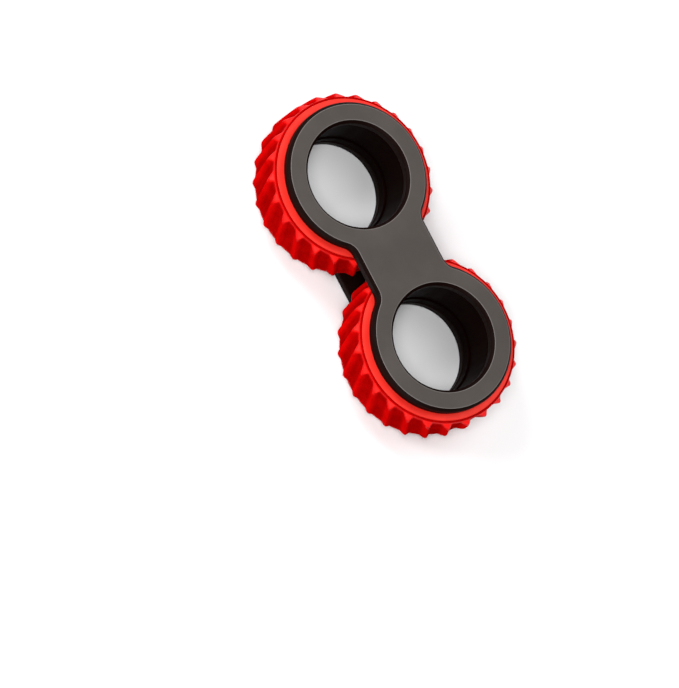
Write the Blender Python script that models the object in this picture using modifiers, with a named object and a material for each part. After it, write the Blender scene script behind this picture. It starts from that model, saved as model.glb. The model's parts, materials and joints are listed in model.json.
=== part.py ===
"""Finger exerciser: a figure-eight frame with two finger bores, each ringed by a ribbed wheel on a ball bearing.

Metres, +Z out of the front plate. The origin lies on the rear plate's outer face, under the middle of the waist.
The left bore is at -X and the right bore at +X.
"""

import math

import bmesh
import bpy
from mathutils import Matrix, Vector

# Frame
BORE_SPACING = 0.0388
FRONT_BORE_R = 0.0114
REAR_BORE_R = 0.0111
PLATE_R = 0.0161
PLATE_T = 0.00245
DEPTH = 0.0170
FRONT_WAIST_HALF = 0.00905
REAR_WAIST_HALF = 0.00765
WAIST_FILLET = 0.00325
PLATE_CHAMFER = 0.00065
PLATE_INNER_EDGE = 0.00015

# Gaps: between parts that rest on each other, and between parts that are pressed together
REST_GAP = 0.0003
PRESS_GAP = 0.00015

# Hub tubes, which line the bores between the plates and meet at a seam
FRONT_HUB_BORE_R = 0.0115
REAR_HUB_BORE_R = 0.0112
SPIGOT_R = 0.01245
HUB_R = 0.0132
SEAM_Z = 0.0053
SEAM_CHAMFER = 0.0002

# Ball bearing
MID_Z = DEPTH / 2
BEARING_W = 0.0060
BALL_PITCH_R = 0.0139
BALL_R = 0.0008
BALL_COUNT = 16
RACE_CLEARANCE = 0.00006
LAND_OFFSET = 0.0006
INNER_RACE_R = SPIGOT_R + PRESS_GAP
OUTER_RACE_R = 0.01535
CAGE_T = 0.0006
CAGE_H = 0.0026
POCKET_R = 0.00095

# Wheel: a rigid rim round the bearing, and a rubber tyre round the rim
RIM_BORE_R = OUTER_RACE_R + PRESS_GAP
RIM_R = 0.0175
RIM_CHAMFER = 0.00015
RIM_SHOULDER_R = 0.0150
RIM_SHOULDER_T = 0.0006
RIM_HALF_W = DEPTH / 2 - PLATE_T - REST_GAP

# Tyre: slanting ridges with flat valleys between, steeper on their anticlockwise side from the front
TOOTH_COUNT = 25
TOOTH_PHASE = {"left": math.radians(-5.1), "right": math.radians(0.7)}
TYRE_HALF_W = RIM_HALF_W - 0.0001
TYRE_EDGE_R = 0.0179
ROOT_R = 0.0181
TIP_R = 0.0192
TOOTH_FOOT_HALF = 0.0052
TOOTH_RIDGE_HALF = 0.0043
TOOTH_SLANT = math.radians(20.5)

# A ridge's section: how far along the pitch, and how high from root to tip, each corner lies
TOOTH_SECTION = [(0.0, 0.0), (0.46, 0.0), (0.78, 1.0), (0.85, 1.0)]

ROUND_STEPS = 40
PLATE_ARC_STEPS = 34
FILLET_STEPS = 5
GROOVE_STEPS = 4
DRILL_SIDES = 8
SMOOTH_ANGLE = math.radians(30)

SIDES = {"left": -BORE_SPACING / 2, "right": BORE_SPACING / 2}

# Colour, roughness, metallic
MATERIALS = {
    "plate_black": ((0.060, 0.057, 0.055), 0.55, 0.0),
    "hub_black": ((0.020, 0.019, 0.019), 0.38, 0.0),
    "race_steel": ((0.62, 0.62, 0.63), 0.28, 1.0),
    "ball_steel": ((0.80, 0.80, 0.81), 0.10, 1.0),
    "cage_nylon": ((0.32, 0.22, 0.12), 0.50, 0.0),
    "rim_red": ((0.62, 0.022, 0.012), 0.35, 0.0),
    "tyre_red": ((0.52, 0.010, 0.008), 0.50, 0.0),
}


def clear_scene():
    for obj in list(bpy.data.objects):
        bpy.data.objects.remove(obj, do_unlink=True)


def new_collection(name):
    collection = bpy.data.collections.new(name)
    bpy.context.scene.collection.children.link(collection)
    return collection


def new_material(name):
    colour, roughness, metallic = MATERIALS[name]
    material = bpy.data.materials.new(name)
    material.use_nodes = True
    shader = material.node_tree.nodes["Principled BSDF"]
    shader.inputs["Base Color"].default_value = (*colour, 1)
    shader.inputs["Roughness"].default_value = roughness
    shader.inputs["Metallic"].default_value = metallic
    material.diffuse_color = (*colour, 1)
    return material


def settled(obj):
    """Turns an object's evaluated shape into a welded, smooth-shaded mesh object of the same name and place."""
    graph = bpy.context.evaluated_depsgraph_get()
    mesh = bpy.data.meshes.new_from_object(obj.evaluated_get(graph))
    edit = bmesh.new()
    edit.from_mesh(mesh)
    bmesh.ops.remove_doubles(edit, verts=edit.verts, dist=1e-7)
    bmesh.ops.recalc_face_normals(edit, faces=edit.faces)
    edit.to_mesh(mesh)
    edit.free()
    return replaced(obj, mesh)


def replaced(obj, mesh):
    name = obj.name
    collection = obj.users_collection[0]
    place = obj.location.copy()
    bpy.data.objects.remove(obj, do_unlink=True)
    mesh.name = name
    mesh.shade_smooth()
    mesh.set_sharp_from_angle(angle=SMOOTH_ANGLE)
    new = bpy.data.objects.new(name, mesh)
    new.location = place
    collection.objects.link(new)
    return new


def turned(name, profile, collection):
    """Revolves a closed outline of (radius, height) points, which runs down its outer side, about Z."""
    mesh = bpy.data.meshes.new(name)
    points = [(radius, 0, height) for radius, height in profile]
    edges = [(i, (i + 1) % len(points)) for i in range(len(points))]
    mesh.from_pydata(points, edges, [])
    obj = bpy.data.objects.new(name, mesh)
    collection.objects.link(obj)
    screw = obj.modifiers.new("Revolve", "SCREW")
    screw.axis = "Z"
    screw.angle = math.tau
    screw.steps = ROUND_STEPS
    screw.render_steps = ROUND_STEPS
    screw.use_merge_vertices = True
    screw.merge_threshold = 1e-6
    return settled(obj)


def arc(centre, radius, start, end, steps):
    """Points along an arc from one angle to another, both ends included."""
    angles = [start + (end - start) * i / steps for i in range(steps + 1)]
    return [(centre[0] + radius * math.cos(a), centre[1] + radius * math.sin(a)) for a in angles]


def plate_outline(waist_half):
    """The figure-eight, anticlockwise: two ring arcs, joined by a waist with a fillet at each corner."""
    ring_x = BORE_SPACING / 2
    fillet_y = waist_half + WAIST_FILLET
    reach = PLATE_R + WAIST_FILLET
    fillet_x = ring_x - math.sqrt(reach**2 - fillet_y**2)
    meet = math.asin(fillet_y / reach)
    half = arc((ring_x, 0), PLATE_R, meet - math.pi, math.pi - meet, PLATE_ARC_STEPS)
    half += arc((fillet_x, fillet_y), WAIST_FILLET, -meet, -math.pi / 2, FILLET_STEPS)[1:]
    half += arc((-fillet_x, fillet_y), WAIST_FILLET, -math.pi / 2, meet - math.pi, FILLET_STEPS)[:-1]
    return half + [(-x, -y) for x, y in half]


def make_plate(name, centre_z, bore_r, waist_half, collection):
    """A flat plate of the figure-eight outline with two finger bores, and chamfers round its outer face."""
    curve = bpy.data.curves.new(name, "CURVE")
    curve.dimensions = "2D"
    curve.fill_mode = "BOTH"
    curve.extrude = PLATE_T / 2 - PLATE_CHAMFER
    curve.bevel_depth = PLATE_CHAMFER
    curve.bevel_resolution = 0
    curve.offset = -PLATE_CHAMFER
    bores = [arc((x, 0), bore_r, math.tau, 0, ROUND_STEPS)[:-1] for x in SIDES.values()]
    for outline in [plate_outline(waist_half), *bores]:
        spline = curve.splines.new("POLY")
        spline.points.add(len(outline) - 1)
        for point, (x, y) in zip(spline.points, outline):
            point.co = (x, y, 0, 1)
        spline.use_cyclic_u = True
    obj = bpy.data.objects.new(name, curve)
    obj.location = (0, 0, centre_z)
    collection.objects.link(obj)
    bpy.context.view_layer.update()
    plate = settled(obj)
    inward = 1 if centre_z < DEPTH / 2 else -1
    for vertex in plate.data.vertices:
        if 0 < vertex.co.z * inward < (PLATE_T - PLATE_CHAMFER) / 2:
            vertex.co.z = inward * (PLATE_T / 2 - PLATE_INNER_EDGE)
    return plate


def hub_bore(radius, bottom, top):
    """The bore side of a hub's outline, from bottom to top, with a chamfer at each end."""
    return [
        (radius + SEAM_CHAMFER, bottom),
        (radius, bottom + SEAM_CHAMFER),
        (radius, top - SEAM_CHAMFER),
        (radius + SEAM_CHAMFER, top),
    ]


def front_hub_profile():
    """A tube whose thinner spigot passes through the inner race and meets the rear hub at the seam."""
    top = DEPTH - PLATE_T - REST_GAP
    shoulder = MID_Z + BEARING_W / 2 + REST_GAP
    bottom = SEAM_Z + REST_GAP / 2
    outside = [(HUB_R, top), (HUB_R, shoulder), (SPIGOT_R, shoulder), (SPIGOT_R, bottom)]
    return outside + hub_bore(FRONT_HUB_BORE_R, bottom, top)


def rear_hub_profile():
    top = SEAM_Z - REST_GAP / 2
    bottom = PLATE_T + REST_GAP
    return [(HUB_R, top), (HUB_R, bottom), *hub_bore(REAR_HUB_BORE_R, bottom, top)]


def groove(facing):
    """A ball groove's outline, from top to bottom, in the race on the bore's side (-1) or the rim's side (+1)."""
    radius = BALL_R + RACE_CLEARANCE
    half_angle = math.acos(LAND_OFFSET / radius)
    tilts = [half_angle - 2 * half_angle * i / GROOVE_STEPS for i in range(GROOVE_STEPS + 1)]
    return [
        (BALL_PITCH_R + facing * radius * math.cos(t), MID_Z + radius * math.sin(t))
        for t in tilts
    ]


def inner_race_profile():
    land = BALL_PITCH_R - LAND_OFFSET
    top = MID_Z + BEARING_W / 2
    bottom = MID_Z - BEARING_W / 2
    return [(land, top), *groove(-1), (land, bottom), (INNER_RACE_R, bottom), (INNER_RACE_R, top)]


def outer_race_profile():
    land = BALL_PITCH_R + LAND_OFFSET
    top = MID_Z + BEARING_W / 2
    bottom = MID_Z - BEARING_W / 2
    outside = [(OUTER_RACE_R, top), (OUTER_RACE_R, bottom)]
    return outside + [(land, bottom), *reversed(groove(1)), (land, top)]


def rim_profile():
    """A ring as wide as the gap between the plates, with a shoulder inside that stops the bearing."""
    top = MID_Z + RIM_HALF_W
    bottom = MID_Z - RIM_HALF_W
    shoulder_low = MID_Z + BEARING_W / 2 + REST_GAP
    shoulder_top = shoulder_low + RIM_SHOULDER_T
    return [
        (RIM_R, top),
        (RIM_R, bottom),
        (RIM_BORE_R + RIM_CHAMFER, bottom),
        (RIM_BORE_R, bottom + RIM_CHAMFER),
        (RIM_BORE_R, shoulder_low),
        (RIM_SHOULDER_R, shoulder_low),
        (RIM_SHOULDER_R, shoulder_top),
        (RIM_BORE_R, shoulder_top),
        (RIM_BORE_R, top - RIM_CHAMFER),
        (RIM_BORE_R + RIM_CHAMFER, top),
    ]


def ball_places():
    for i in range(BALL_COUNT):
        yield i, math.tau * i / BALL_COUNT


def pocket_drills(cutters):
    """One cutter for a cage: a short radial cylinder at each ball."""
    mesh = bpy.data.meshes.new("pocket_drills")
    edit = bmesh.new()
    for _, angle in ball_places():
        turn = Matrix.Rotation(angle, 4, "Z") @ Matrix.Rotation(math.pi / 2, 4, "Y")
        place = Matrix.Translation(Matrix.Rotation(angle, 3, "Z") @ Vector((BALL_PITCH_R, 0, MID_Z)))
        bmesh.ops.create_cone(
            edit,
            cap_ends=True,
            segments=DRILL_SIDES,
            radius1=POCKET_R,
            radius2=POCKET_R,
            depth=3 * CAGE_T,
            matrix=place @ turn,
        )
    edit.to_mesh(mesh)
    edit.free()
    drills = bpy.data.objects.new("pocket_drills", mesh)
    drills.hide_render = True
    drills.display_type = "WIRE"
    cutters.objects.link(drills)
    return drills


def make_cage(name, drills, collection):
    """A thin ring on the balls' pitch circle with a round pocket for each ball."""
    outer = BALL_PITCH_R + CAGE_T / 2
    inner = BALL_PITCH_R - CAGE_T / 2
    top = MID_Z + CAGE_H / 2
    bottom = MID_Z - CAGE_H / 2
    ring = turned(name, [(outer, top), (outer, bottom), (inner, bottom), (inner, top)], collection)
    cut = ring.modifiers.new("Pockets", "BOOLEAN")
    cut.operation = "DIFFERENCE"
    cut.object = drills
    bpy.context.view_layer.update()
    return settled(ring)


def ball_mesh():
    mesh = bpy.data.meshes.new("ball")
    edit = bmesh.new()
    bmesh.ops.create_uvsphere(edit, u_segments=8, v_segments=5, radius=BALL_R)
    edit.to_mesh(mesh)
    edit.free()
    mesh.shade_smooth()
    return mesh


def tooth_ring(height, twist, tip):
    """The corners of every ridge's section at one height, for ridges that reach out to a tip radius."""
    pitch = math.tau / TOOTH_COUNT
    ring = []
    for tooth in range(TOOTH_COUNT):
        for share, rise in TOOTH_SECTION:
            radius = ROOT_R + (tip - ROOT_R) * rise
            angle = (tooth + share) * pitch + twist
            ring.append((radius * math.cos(angle), radius * math.sin(angle), height))
    return ring


def plain_ring(height, radius, twist):
    """The same number of points as a tooth ring, at the same angles, on a circle."""
    return [
        (x * radius / math.hypot(x, y), y * radius / math.hypot(x, y), height)
        for x, y, _ in tooth_ring(height, twist, ROOT_R)
    ]


def make_tyre(name, phase, collection):
    """A rubber band with slanting teeth: rings of points down the outside and up the bore, joined by faces."""
    twist = TOOTH_RIDGE_HALF * math.tan(TOOTH_SLANT) / TIP_R
    front = phase - twist
    rear = phase + twist
    bore = RIM_R + PRESS_GAP
    rings = [
        plain_ring(MID_Z + TYRE_HALF_W, bore, front),
        plain_ring(MID_Z + TYRE_HALF_W, TYRE_EDGE_R, front),
        tooth_ring(MID_Z + TOOTH_FOOT_HALF, front, ROOT_R),
        tooth_ring(MID_Z + TOOTH_RIDGE_HALF, front, TIP_R),
        tooth_ring(MID_Z - TOOTH_RIDGE_HALF, rear, TIP_R),
        tooth_ring(MID_Z - TOOTH_FOOT_HALF, rear, ROOT_R),
        plain_ring(MID_Z - TYRE_HALF_W, TYRE_EDGE_R, rear),
        plain_ring(MID_Z - TYRE_HALF_W, bore, rear),
    ]
    edit = bmesh.new()
    rows = [[edit.verts.new(point) for point in ring] for ring in rings]
    around = len(rows[0])
    for row, below in zip(rows, rows[1:] + rows[:1]):
        for i in range(around):
            j = (i + 1) % around
            edit.faces.new((row[i], below[i], below[j], row[j]))
    bmesh.ops.triangulate(edit, faces=edit.faces)
    bmesh.ops.recalc_face_normals(edit, faces=edit.faces)
    mesh = bpy.data.meshes.new(name)
    edit.to_mesh(mesh)
    edit.free()
    mesh.shade_smooth()
    mesh.set_sharp_from_angle(angle=SMOOTH_ANGLE)
    obj = bpy.data.objects.new(name, mesh)
    collection.objects.link(obj)
    return obj


def finished(obj, axis, material):
    """Gives a part its material and, where it belongs to one bore, hangs it on that bore's axis."""
    obj.data.materials.clear()
    obj.data.materials.append(material)
    if axis:
        obj.parent = axis
    return obj


def make_side(side, x, drills, collection, materials):
    """The hubs, bearing and wheel around one finger bore."""
    axis = bpy.data.objects.new(f"{side}_axis", None)
    axis.empty_display_size = DEPTH
    axis.location = (x, 0, 0)
    collection.objects.link(axis)
    turned_parts = {
        "front_hub": (front_hub_profile(), "hub_black"),
        "rear_hub": (rear_hub_profile(), "hub_black"),
        "inner_race": (inner_race_profile(), "race_steel"),
        "outer_race": (outer_race_profile(), "race_steel"),
        "rim": (rim_profile(), "rim_red"),
    }
    for part, (profile, material) in turned_parts.items():
        obj = turned(f"{side}_{part}", profile, collection)
        finished(obj, axis, materials[material])
    finished(make_cage(f"{side}_ball_cage", drills, collection), axis, materials["cage_nylon"])
    tyre = make_tyre(f"{side}_tyre", TOOTH_PHASE[side], collection)
    finished(tyre, axis, materials["tyre_red"])
    mesh = ball_mesh()
    for i, angle in ball_places():
        ball = bpy.data.objects.new(f"{side}_ball_{i + 1:02d}", mesh)
        ball.location = Matrix.Rotation(angle, 3, "Z") @ Vector((BALL_PITCH_R, 0, MID_Z))
        ball.rotation_euler = (0, 0, angle)
        collection.objects.link(ball)
        finished(ball, axis, materials["ball_steel"])


def main():
    clear_scene()
    collection = new_collection("finger_exerciser")
    cutters = new_collection("cutters")
    materials = {name: new_material(name) for name in MATERIALS}
    drills = pocket_drills(cutters)
    rear = make_plate("rear_plate", PLATE_T / 2, REAR_BORE_R, REAR_WAIST_HALF, collection)
    front_z = DEPTH - PLATE_T / 2
    front = make_plate("front_plate", front_z, FRONT_BORE_R, FRONT_WAIST_HALF, collection)
    for plate in (rear, front):
        finished(plate, None, materials["plate_black"])
    for side, x in SIDES.items():
        make_side(side, x, drills, collection, materials)


main()
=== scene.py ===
"""The looks of the finger exerciser: fine meshes, materials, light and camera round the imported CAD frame.

Metres, +Z up, in the frame's own coordinates: the rear plate lies on the floor at Z 0, and the bores run
along Z.
"""

import json
import math

import bmesh
import bpy
from mathutils import Matrix, Vector


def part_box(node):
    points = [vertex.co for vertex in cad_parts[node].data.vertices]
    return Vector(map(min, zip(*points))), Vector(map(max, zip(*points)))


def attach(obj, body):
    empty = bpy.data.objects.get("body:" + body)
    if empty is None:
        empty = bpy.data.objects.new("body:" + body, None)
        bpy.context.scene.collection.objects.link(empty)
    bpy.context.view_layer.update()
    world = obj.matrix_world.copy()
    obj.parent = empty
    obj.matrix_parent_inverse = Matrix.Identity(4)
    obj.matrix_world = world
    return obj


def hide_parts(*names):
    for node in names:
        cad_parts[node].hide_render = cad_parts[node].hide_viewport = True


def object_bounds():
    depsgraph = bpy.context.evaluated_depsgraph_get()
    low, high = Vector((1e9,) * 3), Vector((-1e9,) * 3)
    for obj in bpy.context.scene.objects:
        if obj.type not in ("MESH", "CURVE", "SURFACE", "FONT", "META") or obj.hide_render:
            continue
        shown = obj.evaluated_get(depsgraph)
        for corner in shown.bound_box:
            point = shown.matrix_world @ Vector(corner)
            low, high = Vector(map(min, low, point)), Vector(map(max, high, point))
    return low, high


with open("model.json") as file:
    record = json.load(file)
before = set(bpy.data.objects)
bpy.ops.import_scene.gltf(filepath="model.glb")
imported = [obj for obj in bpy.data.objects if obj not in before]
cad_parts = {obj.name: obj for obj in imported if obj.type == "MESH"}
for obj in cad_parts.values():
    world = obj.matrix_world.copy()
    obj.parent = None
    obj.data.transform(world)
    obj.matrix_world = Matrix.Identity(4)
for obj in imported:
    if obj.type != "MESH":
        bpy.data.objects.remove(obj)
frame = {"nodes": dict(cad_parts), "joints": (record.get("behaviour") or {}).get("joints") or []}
CAD_LOW, CAD_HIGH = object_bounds()

# Wheel axes, from the joints
AXES = {side: None for side in ("left", "right")}
for joint in frame["joints"]:
    for side in AXES:
        if joint["child"] == f"{side}_wheel":
            AXES[side] = Vector((joint["pos_m"][0], joint["pos_m"][1], 0))


def round_size(node, axis):
    """(inner radius, outer radius, bottom, top) of a round CAD node about a bore's axis."""
    points = [vertex.co - axis for vertex in frame["nodes"][node].data.vertices]
    radii = [point.xy.length for point in points]
    heights = [point.z for point in points]
    return min(radii), max(radii), min(heights), max(heights)


# Frame plates. Here and below, an EDGE is the rounding of a piece's corners
RING_X = AXES["right"].x
DEPTH = CAD_HIGH.z
MID_Z = DEPTH / 2
PLATE_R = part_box("front_plate")[1].x - RING_X
WAIST_HALF = {"front_plate": 0.00905, "rear_plate": 0.00765}
WAIST_FILLET = 0.00325
PLATE_CHAMFER = 0.00065
PLATE_EDGE = 0.00007
PLATE_INNER_EDGE = 0.00015

# How far outward a plate's face must point to count as flat, painted a lighter grey as a painted
# reflection, and as the rounded edge beside it, painted paler as rubbing and a painted highlight
FLAT_FROM = 0.999
RUB_AND_HIGHLIGHT_FROM = 0.74

# Hubs and rims
PRESS_GAP = 0.00015
STOP_GAP = 0.0003
STOP_THICKNESS = 0.0006
HUB_EDGE = 0.00018
RIM_EDGE = 0.00016

# Bearings
BALL_COUNT = 16
RACE_CLEARANCE = 0.00006
RACE_EDGE = 0.00006
LAND_OFFSET = 0.0006
POCKET_CLEARANCE = 0.00015
WELD_DISTANCE = 1e-7

# Tyre ridges. The section gives how far along the pitch, and how high from root to tip, each corner lies
TOOTH_COUNT = 25
TOOTH_PHASE = {"left": math.radians(-5.1), "right": math.radians(0.7)}
ROOT_R = 0.0181
TIP_R = 0.0192
TOOTH_FOOT_HALF = 0.0052
TOOTH_RIDGE_HALF = 0.0043
TOOTH_SLANT = math.radians(20.5)
TOOTH_SECTION = [(0.0, 0.0), (0.46, 0.0), (0.78, 1.0), (0.85, 1.0), (1.0, 0.0)]
TOOTH_SOFTNESS = 0.06
END_SOFTNESS = 0.0006
END_RUN_ON = 0.0002

# Tyre sides
TYRE_EDGE_R = 0.0179
TYRE_EDGE = 0.00012
TYRE_LIP = 0.0006
WHEEL_SEAM = 0.00004

# Tread tones: painted shade darkens the valleys, and the ridge ends are painted paler, partly as wear and
# partly as a painted highlight. The shares are of the height from root to tip
VALLEY_FADE = 0.0011
SHOULDER_TONE = 0.5
FULL_WEAR_HIGHLIGHT_SHARE = 0.35
FULL_TONE_SHARE = 0.5

# Mesh fineness
ROUND_STEPS = 192
RING_ARC_STEPS = 160
FILLET_STEPS = 20
CORNER_STEPS = 4
TOOTH_STEPS = 36
END_ROWS = 14
RIDGE_ROWS = 12
SOFTENING_STEPS = 4
BALL_DETAIL = 4
POCKET_STEPS = 32
POCKET_SHARES = (0.0, 0.25, 1.0)
GROOVE_STEPS = 16
SMOOTH_ANGLE = math.radians(35)

# Camera: where it stands round the object, and where the object's centre lies in its view
VIEW_AZIMUTH = math.radians(3.32)
VIEW_ELEVATION = math.radians(62.84)
VIEW_ROLL = math.radians(59.49)
VIEW_DISTANCE = 1.1196
VIEW_LENS = 275.3
CENTRE_RIGHT = 0.00967
CENTRE_UP = 0.01668

FLOOR_HALF = 3


# ---------------------------------------------------------------- materials


def new_material(name):
    material = bpy.data.materials.new(name)
    material.use_nodes = True
    nodes = material.node_tree.nodes
    return material, nodes, material.node_tree.links, nodes["Principled BSDF"]


def noise(nodes, links, scale, detail, stretch=(1, 1, 1)):
    """Noise over the piece's own coordinates, in metres. Returns its factor socket."""
    place = nodes.new("ShaderNodeTexCoord")
    mapping = nodes.new("ShaderNodeMapping")
    mapping.inputs["Scale"].default_value = stretch
    texture = nodes.new("ShaderNodeTexNoise")
    texture.inputs["Scale"].default_value = scale
    texture.inputs["Detail"].default_value = detail
    links.new(place.outputs["Object"], mapping.inputs["Vector"])
    links.new(mapping.outputs["Vector"], texture.inputs["Vector"])
    return texture.outputs["Fac"]


def ramp(nodes, links, factor, low, high):
    """A colour ramp between two colours, over the middle of the noise. Returns its colour socket."""
    node = nodes.new("ShaderNodeValToRGB")
    node.color_ramp.elements[0].position = 0.35
    node.color_ramp.elements[1].position = 0.65
    node.color_ramp.elements[0].color = (*low, 1)
    node.color_ramp.elements[1].color = (*high, 1)
    links.new(factor, node.inputs["Fac"])
    return node.outputs["Color"]


def spread(nodes, links, factor, low, high):
    """Maps noise around 0.3 to 0.7 onto a range of values. Returns the value socket."""
    node = nodes.new("ShaderNodeMapRange")
    node.inputs["From Min"].default_value = 0.3
    node.inputs["From Max"].default_value = 0.7
    node.inputs["To Min"].default_value = low
    node.inputs["To Max"].default_value = high
    links.new(factor, node.inputs["Value"])
    return node.outputs["Result"]


def mixed(nodes, links, factor, first, second):
    """Blends one colour socket into another by a factor socket. Returns the colour socket."""
    node = nodes.new("ShaderNodeMix")
    node.data_type = "RGBA"
    links.new(factor, node.inputs[0])
    links.new(first, node.inputs[6])
    links.new(second, node.inputs[7])
    return node.outputs[2]


def solid_colour(nodes, colour):
    node = nodes.new("ShaderNodeRGB")
    node.outputs[0].default_value = (*colour, 1)
    return node.outputs[0]


def bump(nodes, links, shader, height, depth, strength):
    """Bumps the shader's surface by a height socket, over a depth in metres."""
    node = nodes.new("ShaderNodeBump")
    node.inputs["Distance"].default_value = depth
    node.inputs["Strength"].default_value = strength
    links.new(height, node.inputs["Height"])
    links.new(node.outputs["Normal"], shader.inputs["Normal"])


def painted(nodes, name):
    """A mesh attribute that the piece's own code wrote. Returns its factor socket."""
    node = nodes.new("ShaderNodeAttribute")
    node.attribute_name = name
    return node.outputs["Fac"]


def scaled(nodes, links, factor, gain, start=0.0):
    """A factor socket times a gain, plus a start. Returns the value socket."""
    node = nodes.new("ShaderNodeMath")
    node.operation = "MULTIPLY_ADD"
    node.inputs[1].default_value = gain
    node.inputs[2].default_value = start
    links.new(factor, node.inputs[0])
    return node.outputs[0]


def plate_material():
    """Moulded black plastic: the flat faces are painted a grained charcoal grey as a painted reflection of
    the overhead light, the chamfers and walls stay black, and the rounded edges beside the faces are
    painted paler, partly as rubbing and partly as a painted highlight.
    """
    material, nodes, links, shader = new_material("plate_black")
    cloud = noise(nodes, links, 90, 4)
    wall = ramp(nodes, links, cloud, (0.0044, 0.0013, 0.0008), (0.0062, 0.0020, 0.0012))
    # Painted reflection: the flat faces are a lighter grey copy of the black plastic, standing in for the
    # overhead light's reflection.
    face = ramp(nodes, links, cloud, (0.052, 0.0446, 0.0407), (0.063, 0.0540, 0.0493))
    # Partly rubbing, partly a painted highlight: the rounded edges beside the flat faces are painted paler.
    rub_and_highlight = solid_colour(nodes, (0.130, 0.120, 0.114))
    flat = painted(nodes, "flat")
    body = mixed(nodes, links, flat, wall, face)
    links.new(mixed(nodes, links, painted(nodes, "edge"), body, rub_and_highlight), shader.inputs["Base Color"])
    grain = noise(nodes, links, 5200, 2)
    links.new(spread(nodes, links, grain, 0.42, 0.52), shader.inputs["Roughness"])
    bump(nodes, links, shader, grain, 0.000012, 0.5)
    links.new(scaled(nodes, links, flat, 0.05, 0.03), shader.inputs["Specular IOR Level"])
    return material


def hub_material():
    """Black tube, smoother than the plates, with faint drawing marks along the bore."""
    material, nodes, links, shader = new_material("hub_black")
    cloud = noise(nodes, links, 160, 3)
    body = ramp(nodes, links, cloud, (0.0026, 0.0005, 0.0003), (0.0038, 0.0009, 0.0006))
    links.new(body, shader.inputs["Base Color"])
    marks = noise(nodes, links, 900, 3, (1, 1, 0.05))
    links.new(spread(nodes, links, marks, 0.34, 0.46), shader.inputs["Roughness"])
    bump(nodes, links, shader, marks, 0.000008, 0.4)
    shader.inputs["Specular IOR Level"].default_value = 0.004
    return material


def rim_material():
    """Satin red plastic, faintly mottled, with a fine grain."""
    material, nodes, links, shader = new_material("rim_red")
    cloud = noise(nodes, links, 240, 3)
    body = ramp(nodes, links, cloud, (0.66, 0.019, 0.0125), (0.74, 0.026, 0.017))
    links.new(body, shader.inputs["Base Color"])
    grain = noise(nodes, links, 3600, 2)
    links.new(spread(nodes, links, grain, 0.30, 0.40), shader.inputs["Roughness"])
    bump(nodes, links, shader, grain, 0.000008, 0.35)
    shader.inputs["Specular IOR Level"].default_value = 0.35
    shader.inputs["Specular Tint"].default_value = (1, 0.40, 0.34, 1)
    return material


def tyre_material():
    """Soft red rubber: painted shade darkens the valleys, and the cut ridge ends are painted paler, partly
    as rubbed wear and partly as a painted highlight, with a fine matte skin.
    """
    material, nodes, links, shader = new_material("tyre_red")
    cloud = noise(nodes, links, 320, 4)
    # Painted shade: the valleys get a darker copy of the ridges' red.
    valley_shade = ramp(nodes, links, cloud, (0.225, 0.0003, 0.0003), (0.285, 0.0006, 0.0006))
    ridge = ramp(nodes, links, cloud, (0.37, 0.0006, 0.0006), (0.45, 0.0012, 0.0012))
    body = mixed(nodes, links, painted(nodes, "height"), valley_shade, ridge)
    # Partly wear, partly a painted highlight: the cut ridge ends are painted a paler red.
    worn_highlight = solid_colour(nodes, (0.80, 0.0070, 0.0055))
    wear_and_highlight = painted(nodes, "wear_and_highlight")
    links.new(mixed(nodes, links, wear_and_highlight, body, worn_highlight), shader.inputs["Base Color"])
    links.new(scaled(nodes, links, wear_and_highlight, 0.22), shader.inputs["Specular IOR Level"])
    grain = noise(nodes, links, 4200, 3)
    links.new(spread(nodes, links, grain, 0.36, 0.50), shader.inputs["Roughness"])
    bump(nodes, links, shader, grain, 0.000015, 0.5)
    shader.inputs["Specular Tint"].default_value = (1, 0.55, 0.5, 1)
    shader.inputs["Subsurface Weight"].default_value = 0.12
    shader.inputs["Subsurface Radius"].default_value = (1.0, 0.25, 0.15)
    shader.inputs["Subsurface Scale"].default_value = 0.0005
    return material


def steel_material(name, colour, low, high, stretch, depth):
    """Bearing steel: ground rings, or polished balls, by how deep and how stretched the marks are."""
    material, nodes, links, shader = new_material(name)
    shader.inputs["Metallic"].default_value = 1
    cloud = noise(nodes, links, 500, 3)
    paler = tuple(min(1, 1.08 * c) for c in colour)
    links.new(ramp(nodes, links, cloud, colour, paler), shader.inputs["Base Color"])
    marks = noise(nodes, links, 2600, 3, stretch)
    links.new(spread(nodes, links, marks, low, high), shader.inputs["Roughness"])
    bump(nodes, links, shader, marks, depth, 0.4)
    return material


def cage_material():
    """Natural nylon, slightly mottled."""
    material, nodes, links, shader = new_material("cage_nylon")
    cloud = noise(nodes, links, 700, 4)
    body = ramp(nodes, links, cloud, (0.46, 0.36, 0.22), (0.54, 0.44, 0.29))
    links.new(body, shader.inputs["Base Color"])
    links.new(spread(nodes, links, cloud, 0.45, 0.60), shader.inputs["Roughness"])
    bump(nodes, links, shader, cloud, 0.00001, 0.4)
    shader.inputs["Subsurface Weight"].default_value = 0.1
    shader.inputs["Subsurface Scale"].default_value = 0.0003
    return material


def floor_material():
    """Plain pale matte surface."""
    material, nodes, links, shader = new_material("floor_pale")
    cloud = noise(nodes, links, 14, 3)
    body = ramp(nodes, links, cloud, (0.80, 0.80, 0.805), (0.83, 0.83, 0.833))
    links.new(body, shader.inputs["Base Color"])
    links.new(spread(nodes, links, cloud, 0.60, 0.70), shader.inputs["Roughness"])
    return material


# ---------------------------------------------------------------- mesh helpers


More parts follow.
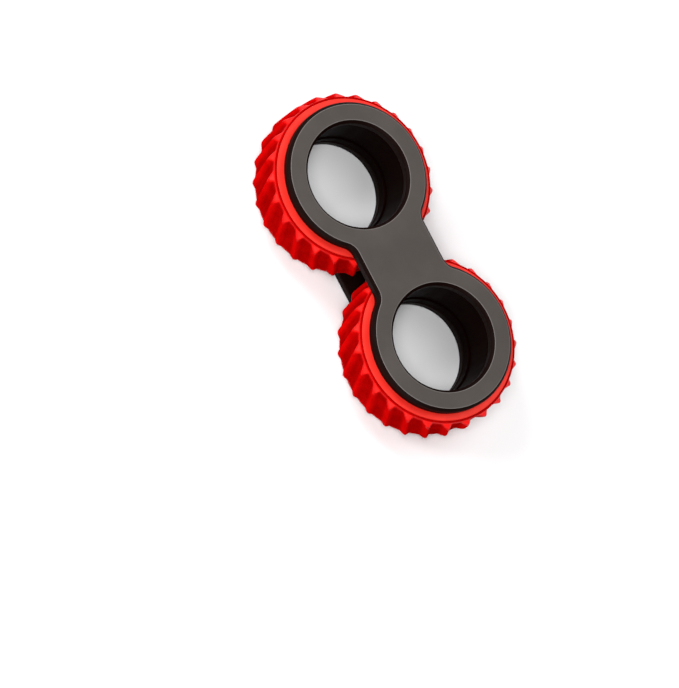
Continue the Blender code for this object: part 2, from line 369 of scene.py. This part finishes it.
def corner_rounded(points, size, closed=True):
    """An outline with each corner cut back by a size and rounded. An open outline keeps its two ends."""
    count = len(points)
    result = []
    for i, point in enumerate(points):
        corner = Vector(point)
        if not closed and i in (0, count - 1):
            result.append(corner)
            continue
        before = Vector(points[i - 1]) - corner
        after = Vector(points[(i + 1) % count]) - corner
        start = corner + before.normalized() * min(size, before.length * 0.45)
        end = corner + after.normalized() * min(size, after.length * 0.45)
        for step in range(CORNER_STEPS + 1):
            t = step / CORNER_STEPS
            result.append(start * (1 - t) ** 2 + corner * 2 * t * (1 - t) + end * t**2)
    return result


def finished_mesh(name, edit, material, place=(0, 0, 0)):
    """Makes a bmesh into a piece, smooth but for its sharp edges, with normals that favour its flats."""
    bmesh.ops.recalc_face_normals(edit, faces=edit.faces)
    mesh = bpy.data.meshes.new(name)
    edit.to_mesh(mesh)
    edit.free()
    mesh.materials.append(material)
    mesh.shade_smooth()
    mesh.set_sharp_from_angle(angle=SMOOTH_ANGLE)
    piece = bpy.data.objects.new(name, mesh)
    piece.location = place
    bpy.context.scene.collection.objects.link(piece)
    weighted = piece.modifiers.new("Flats", "WEIGHTED_NORMAL")
    weighted.keep_sharp = True
    return piece


def joined_loops(edit, loops, closed):
    """Faces between each loop of vertices and the next, and from the last to the first where closed."""
    pairs = list(zip(loops, loops[1:]))
    if closed:
        pairs.append((loops[-1], loops[0]))
    for upper, lower in pairs:
        for i in range(len(upper)):
            j = (i + 1) % len(upper)
            edit.faces.new((upper[i], lower[i], lower[j], upper[j]))


def turned(name, outline, rounding, material, place):
    """A ring revolved from a closed outline of (radius, height), with rounded corners."""
    edit = bmesh.new()
    loops = []
    angles = [math.tau * i / ROUND_STEPS for i in range(ROUND_STEPS)]
    for radius, height in corner_rounded(outline, rounding):
        loops.append([edit.verts.new((radius * math.cos(a), radius * math.sin(a), height)) for a in angles])
    joined_loops(edit, loops, closed=True)
    return finished_mesh(name, edit, material, place)


def ready(piece, body, slot, *nodes):
    """Ties a finished piece to its body and hides the CAD nodes that it stands for. The slot is not used.
    """
    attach(piece, body)
    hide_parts(*nodes)


# ---------------------------------------------------------------- frame plates


def arc(centre_x, centre_y, radius, start, end, steps):
    angles = [start + (end - start) * i / steps for i in range(steps + 1)]
    return [(centre_x + radius * math.cos(a), centre_y + radius * math.sin(a)) for a in angles]


def plate_outline(waist_half, inset):
    """The figure-eight, anticlockwise, moved in by an inset: two ring arcs and a fillet at each corner."""
    fillet_y = waist_half + WAIST_FILLET
    reach = PLATE_R + WAIST_FILLET
    fillet_x = RING_X - math.sqrt(reach**2 - fillet_y**2)
    meet = math.asin(fillet_y / reach)
    fillet = WAIST_FILLET + inset
    half = arc(RING_X, 0, PLATE_R - inset, meet - math.pi, math.pi - meet, RING_ARC_STEPS)
    half += arc(fillet_x, fillet_y, fillet, -meet, -math.pi / 2, FILLET_STEPS)[1:]
    half += arc(-fillet_x, fillet_y, fillet, -math.pi / 2, meet - math.pi, FILLET_STEPS)[:-1]
    return half + [(-x, -y) for x, y in half]


def make_plate(node, material):
    """A plate. Outline and bores share one edge section: a chamfer at the outer face, finely rounded."""
    bore_r = round_size(node, AXES["right"])[0]
    low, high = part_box(node)
    inner, outer = (low.z, high.z) if low.z > MID_Z else (high.z, low.z)
    inward = math.copysign(1, inner - outer)
    flat = PLATE_CHAMFER + 4 * PLATE_EDGE
    section = [
        (flat, outer),
        (PLATE_CHAMFER, outer),
        (0, outer + PLATE_CHAMFER * inward),
        (0, inner - PLATE_INNER_EDGE * inward),
        (PLATE_INNER_EDGE, inner),
        (flat, inner),
    ]
    section = corner_rounded(section, PLATE_EDGE, closed=False)
    edit = bmesh.new()
    walls = []
    for centre in (None, *AXES.values()):
        loops = []
        for inset, height in section:
            if centre is None:
                points = plate_outline(WAIST_HALF[node], inset)
            else:
                points = arc(centre.x, centre.y, bore_r + inset, 0, math.tau, ROUND_STEPS)[:-1]
            loops.append([edit.verts.new((x, y, height)) for x, y in points])
        joined_loops(edit, loops, closed=False)
        walls.append(loops)
    edit.edges.ensure_lookup_table()
    for end in (0, -1):
        rim = []
        for loops in walls:
            loop = loops[end]
            rim += [edit.edges.get((loop[i - 1], loop[i])) for i in range(len(loop))]
        bmesh.ops.triangle_fill(edit, use_beauty=True, use_dissolve=False, edges=rim)
    bmesh.ops.recalc_face_normals(edit, faces=edit.faces)
    flat_mark = edit.faces.layers.float.new("flat")
    edge_mark = edit.faces.layers.float.new("edge")
    # The flat faces take the painted reflection's grey; the rounded edges beside them take the paler tone
    # of rubbing and a painted highlight.
    for face in edit.faces:
        outward = -face.normal.z * inward
        face[flat_mark] = float(outward > FLAT_FROM)
        face[edge_mark] = float(RUB_AND_HIGHLIGHT_FROM < outward <= FLAT_FROM)
    piece = finished_mesh(f"fine_{node}", edit, material)
    ready(piece, "frame", "plate_black", node)


# ---------------------------------------------------------------- hubs and bearings


def make_front_hub(side, material):
    """The tube behind the front plate's bore, with the spigot that carries the inner race."""
    node = f"{side}_front_hub"
    inner, outer, bottom, top = round_size(node, AXES[side])
    race = round_size(f"{side}_inner_race", AXES[side])
    spigot = race[0] - PRESS_GAP
    shoulder = race[3] + STOP_GAP
    outline = [
        (outer, top),
        (outer, shoulder),
        (spigot, shoulder),
        (spigot, bottom),
        (inner, bottom),
        (inner, top),
    ]
    piece = turned(f"fine_{node}", outline, HUB_EDGE, material, AXES[side])
    ready(piece, "frame", "hub_black", node)


def make_rear_hub(side, material):
    """The plain tube that closes the bore's lining at the rear plate."""
    node = f"{side}_rear_hub"
    inner, outer, bottom, top = round_size(node, AXES[side])
    outline = [(outer, top), (outer, bottom), (inner, bottom), (inner, top)]
    piece = turned(f"fine_{node}", outline, HUB_EDGE, material, AXES[side])
    ready(piece, "frame", "hub_black", node)


def make_race(side, part, body, material):
    """One bearing ring: its ball groove follows the CAD ring's, with more steps and rounded corners."""
    node = f"{side}_{part}"
    inner, outer, bottom, top = round_size(node, AXES[side])
    pitch_r, ball_r = ball_size(side)
    middle = (bottom + top) / 2
    groove_r = ball_r + RACE_CLEARANCE
    half_angle = math.acos(LAND_OFFSET / groove_r)
    tilts = [half_angle * (1 - 2 * i / GROOVE_STEPS) for i in range(GROOVE_STEPS + 1)]
    facing = 1 if part == "outer_race" else -1
    groove = [(pitch_r + facing * groove_r * math.cos(t), middle + groove_r * math.sin(t)) for t in tilts]
    land = pitch_r + facing * LAND_OFFSET
    back = outer if facing > 0 else inner
    outline = [(land, top), *groove, (land, bottom), (back, bottom), (back, top)]
    piece = turned(f"fine_{node}", outline, RACE_EDGE, material, AXES[side])
    ready(piece, body, "race_steel", node)


def ball_size(side):
    """(pitch radius, ball radius) of a bearing."""
    low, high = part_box(f"{side}_ball_01")
    centre = (low + high) / 2 - AXES[side]
    return centre.xy.length, (high.z - low.z) / 2


def make_balls(side, material):
    """A fine sphere for each ball."""
    ball_r = ball_size(side)[1]
    for i in range(1, BALL_COUNT + 1):
        node = f"{side}_ball_{i:02d}"
        low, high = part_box(node)
        edit = bmesh.new()
        bmesh.ops.create_icosphere(edit, subdivisions=BALL_DETAIL, radius=ball_r)
        piece = finished_mesh(f"fine_{node}", edit, material, (low + high) / 2)
        ready(piece, f"{side}_cage", "ball_steel", node)


def pocket_frame(pocket_r, half_width, half_height):
    """Loops from a round pocket's rim out to its rectangular frame, as (along, up) points."""
    corner = math.atan2(half_height, half_width)
    turns = [math.tau * i / POCKET_STEPS for i in range(POCKET_STEPS)]
    for target in (corner, math.pi - corner, math.pi + corner, math.tau - corner):
        turns[round(target / math.tau * POCKET_STEPS)] = target
    loops = []
    for share in POCKET_SHARES:
        loop = []
        for turn in turns:
            across, rise = math.cos(turn), math.sin(turn)
            reach = 1 / max(abs(across) / half_width, abs(rise) / half_height)
            distance = pocket_r + (reach - pocket_r) * share
            loop.append((distance * across, distance * rise))
        loops.append(loop)
    return loops


def make_cage(side, material):
    """A thin ring with a round pocket for each ball: framed holes, bent round the pitch circle."""
    node = f"{side}_ball_cage"
    inner, outer, bottom, top = round_size(node, AXES[side])
    pitch_r, ball_r = ball_size(side)
    half_pitch = math.pi * pitch_r / BALL_COUNT
    frame_loops = pocket_frame(ball_r + POCKET_CLEARANCE, half_pitch, (top - bottom) / 2)
    edit = bmesh.new()
    for i in range(BALL_COUNT):
        loops = []
        for points in frame_loops:
            angles = [math.tau * i / BALL_COUNT + along / pitch_r for along, _ in points]
            loop = []
            for a, (_, up) in zip(angles, points):
                loop.append(edit.verts.new((pitch_r * math.cos(a), pitch_r * math.sin(a), MID_Z + up)))
            loops.append(loop)
        joined_loops(edit, loops, closed=False)
    bmesh.ops.remove_doubles(edit, verts=edit.verts, dist=WELD_DISTANCE)
    piece = finished_mesh(f"fine_{node}", edit, material, AXES[side])
    thick = piece.modifiers.new("Thickness", "SOLIDIFY")
    thick.thickness = outer - inner
    thick.offset = 0
    piece.modifiers.move(1, 0)
    ready(piece, f"{side}_cage", "cage_nylon", node)


# ---------------------------------------------------------------- wheels


def make_rim(side, material):
    """The rigid rim: a ring with a shoulder inside that stops the bearing."""
    node = f"{side}_rim"
    shoulder_r, outer, bottom, top = round_size(node, AXES[side])
    race = round_size(f"{side}_outer_race", AXES[side])
    bore = race[1] + PRESS_GAP
    stop = race[3] + STOP_GAP
    stop_top = stop + STOP_THICKNESS
    outline = [
        (outer, top),
        (outer, bottom),
        (bore, bottom),
        (bore, stop),
        (shoulder_r, stop),
        (shoulder_r, stop_top),
        (bore, stop_top),
        (bore, top),
    ]
    piece = turned(f"fine_{node}", outline, RIM_EDGE, material, AXES[side])
    ready(piece, f"{side}_wheel", "rim_red", node)


def raw_tooth(share):
    """The tread's section along one pitch, from 0 at its root to 1 at its tip."""
    share %= 1
    for (start, low), (end, high) in zip(TOOTH_SECTION, TOOTH_SECTION[1:]):
        if share <= end:
            return low + (high - low) * (share - start) / (end - start)
    return 0.0


def tooth_height(share):
    """The same section with its corners rounded."""
    offsets = [TOOTH_SOFTNESS * i / SOFTENING_STEPS for i in range(-SOFTENING_STEPS, SOFTENING_STEPS + 1)]
    return sum(raw_tooth(share + offset) for offset in offsets) / len(offsets)


def softly_least(first, second, softness):
    """The lesser of two values, with the crossing rounded over a softness."""
    gap = max(softness - abs(first - second), 0) / softness
    return min(first, second) - gap * gap * softness / 4


def tread_rows():
    """Heights of the tread's rows above the tyre's middle, front to rear, denser at the ridge ends."""
    run = TOOTH_RIDGE_HALF - END_RUN_ON - TOOTH_FOOT_HALF
    ends = [TOOTH_FOOT_HALF + run * i / END_ROWS for i in range(END_ROWS)]
    ridge = ends[-1]
    middle = [ridge - 2 * ridge * i / RIDGE_ROWS for i in range(1, RIDGE_ROWS)]
    return ends + middle + [-z for z in reversed(ends)]


def make_tyre(side, material):
    """A rubber band with slanting ridges: a cone cuts each end of a ridge, down to a plain shoulder."""
    node = f"{side}_tyre"
    bottom, top = round_size(node, AXES[side])[2:]
    bore = round_size(f"{side}_rim", AXES[side])[1] + WHEEL_SEAM
    half_width = (top - bottom) / 2
    around = TOOTH_COUNT * TOOTH_STEPS
    end_slope = (TIP_R - ROOT_R) / (TOOTH_FOOT_HALF - TOOTH_RIDGE_HALF)
    edit = bmesh.new()
    # Vertex tones for the tyre: one pales the cut ridge ends, partly as wear and partly as a painted
    # highlight; the other darkens the valleys as painted shade.
    wear_and_highlight = edit.verts.layers.float.new("wear_and_highlight")
    height = edit.verts.layers.float.new("height")

    def angle_at(i, z):
        return math.tau * i / around + TOOTH_PHASE[side] - z * math.tan(TOOTH_SLANT) / TIP_R

    def plain_loop(radius, z):
        loop = []
        for i in range(around):
            a = angle_at(i, z)
            vertex = edit.verts.new((radius * math.cos(a), radius * math.sin(a), MID_Z + z))
            vertex[height] = SHOULDER_TONE
            loop.append(vertex)
        return loop

    heights = [tooth_height(i / TOOTH_STEPS) for i in range(TOOTH_STEPS)]
    tread = []
    for z in tread_rows():
        cone = ROOT_R + (TOOTH_FOOT_HALF - abs(z)) * end_slope
        fade = SHOULDER_TONE * (1 - (TOOTH_FOOT_HALF - abs(z)) / VALLEY_FADE)
        loop = []
        for i in range(around):
            section = ROOT_R + (TIP_R - ROOT_R) * heights[i % TOOTH_STEPS]
            radius = softly_least(section, cone, END_SOFTNESS)
            a = angle_at(i, z)
            vertex = edit.verts.new((radius * math.cos(a), radius * math.sin(a), MID_Z + z))
            # Paler where the cone cuts a ridge's end: partly wear, partly a painted highlight.
            vertex[wear_and_highlight] = min((section - radius) / (FULL_WEAR_HIGHLIGHT_SHARE * (TIP_R - ROOT_R)), 1.0)
            # Painted shade: the tone darkens down the ridge's section into the valley, fading to the
            # shoulder's tone near the foot.
            tone = (section - ROOT_R) / (FULL_TONE_SHARE * (TIP_R - ROOT_R))
            vertex[height] = min(max(tone, fade), 1.0)
            loop.append(vertex)
        tread.append(loop)
    corners = [
        (bore, half_width - TYRE_LIP),
        (bore, half_width),
        (TYRE_EDGE_R, half_width),
        (ROOT_R, TOOTH_FOOT_HALF),
    ]
    shoulder = corner_rounded(corners, TYRE_EDGE, closed=False)[:-1]
    front = [plain_loop(r, z) for r, z in shoulder]
    rear = [plain_loop(r, -z) for r, z in reversed(shoulder)]
    joined_loops(edit, front + tread + rear, closed=True)
    piece = finished_mesh(f"fine_{node}", edit, material, AXES[side])
    ready(piece, f"{side}_wheel", "tyre_red", node)


# ---------------------------------------------------------------- scene


def view_axes():
    """The camera's right, up and back directions."""
    back = Vector((
        math.sin(VIEW_AZIMUTH) * math.cos(VIEW_ELEVATION),
        -math.cos(VIEW_AZIMUTH) * math.cos(VIEW_ELEVATION),
        math.sin(VIEW_ELEVATION),
    ))
    level = Vector((0, 0, 1)).cross(back).normalized()
    upright = back.cross(level)
    right = math.cos(VIEW_ROLL) * level + math.sin(VIEW_ROLL) * upright
    up = math.cos(VIEW_ROLL) * upright - math.sin(VIEW_ROLL) * level
    return right, up, back


def make_camera():
    right, up, back = view_axes()
    camera = bpy.data.objects.new("camera", bpy.data.cameras.new("camera"))
    centre = Vector((0, 0, MID_Z))
    place = centre + back * VIEW_DISTANCE - right * CENTRE_RIGHT - up * CENTRE_UP
    camera.matrix_world = Matrix.Translation(place) @ Matrix((right, up, back)).transposed().to_4x4()
    camera.data.lens = VIEW_LENS
    camera.data.clip_start = 0.05
    camera.data.clip_end = 20
    bpy.context.scene.collection.objects.link(camera)
    bpy.context.scene.camera = camera


def make_light(name, direction, distance, size, power):
    """A square softbox that faces the object from a direction."""
    light = bpy.data.lights.new(name, "AREA")
    light.size = size
    light.energy = power
    lamp = bpy.data.objects.new(name, light)
    away = Vector(direction).normalized()
    aim = away.to_track_quat("Z", "Y").to_matrix().to_4x4()
    lamp.matrix_world = Matrix.Translation(away * distance) @ aim
    bpy.context.scene.collection.objects.link(lamp)


def make_lights():
    right, up, back = view_axes()
    mirrored = Vector((-back.x, -back.y, back.z))
    make_light("overhead", mirrored, 0.60, 0.50, 1.8)
    make_light("key", up * 1.0 - right * 0.30 + back * 0.8, 0.55, 0.20, 1.6)
    make_light("front", back, 0.80, 0.22, 3.5)
    make_light("near_left", (-0.50, -0.66, 0.52), 0.50, 0.14, 1.1)
    make_light("near_right", (0.55, -0.70, 0.45), 0.50, 0.20, 1.1)
    make_light("top_left", (-0.88, 0.46, 0.18), 0.50, 0.09, 0.25)
    world = bpy.data.worlds.new("studio")
    world.use_nodes = True
    background = world.node_tree.nodes["Background"]
    background.inputs["Color"].default_value = (0.93, 0.94, 0.95, 1)
    background.inputs["Strength"].default_value = 0.12
    bpy.context.scene.world = world
    bpy.context.scene.view_settings.view_transform = "Standard"


def make_floor(material):
    edit = bmesh.new()
    bmesh.ops.create_grid(edit, x_segments=2, y_segments=2, size=FLOOR_HALF)
    floor = finished_mesh("floor", edit, material, (0, 0, CAD_LOW.z))


def main():
    make_camera()
    make_lights()
    make_floor(floor_material())
    plate = plate_material()
    make_plate("front_plate", plate)
    make_plate("rear_plate", plate)
    hub = hub_material()
    rim = rim_material()
    tyre = tyre_material()
    race = steel_material("race_steel", (0.55, 0.55, 0.56), 0.18, 0.34, (1, 1, 14), 0.000004)
    ball = steel_material("ball_steel", (0.72, 0.72, 0.73), 0.05, 0.10, (1, 1, 1), 0.000001)
    cage = cage_material()
    for side in AXES:
        make_race(side, "inner_race", "frame", race)
        make_race(side, "outer_race", f"{side}_wheel", race)
        make_balls(side, ball)
        make_cage(side, cage)
        make_front_hub(side, hub)
        make_rear_hub(side, hub)
        make_rim(side, rim)
        make_tyre(side, tyre)


main()
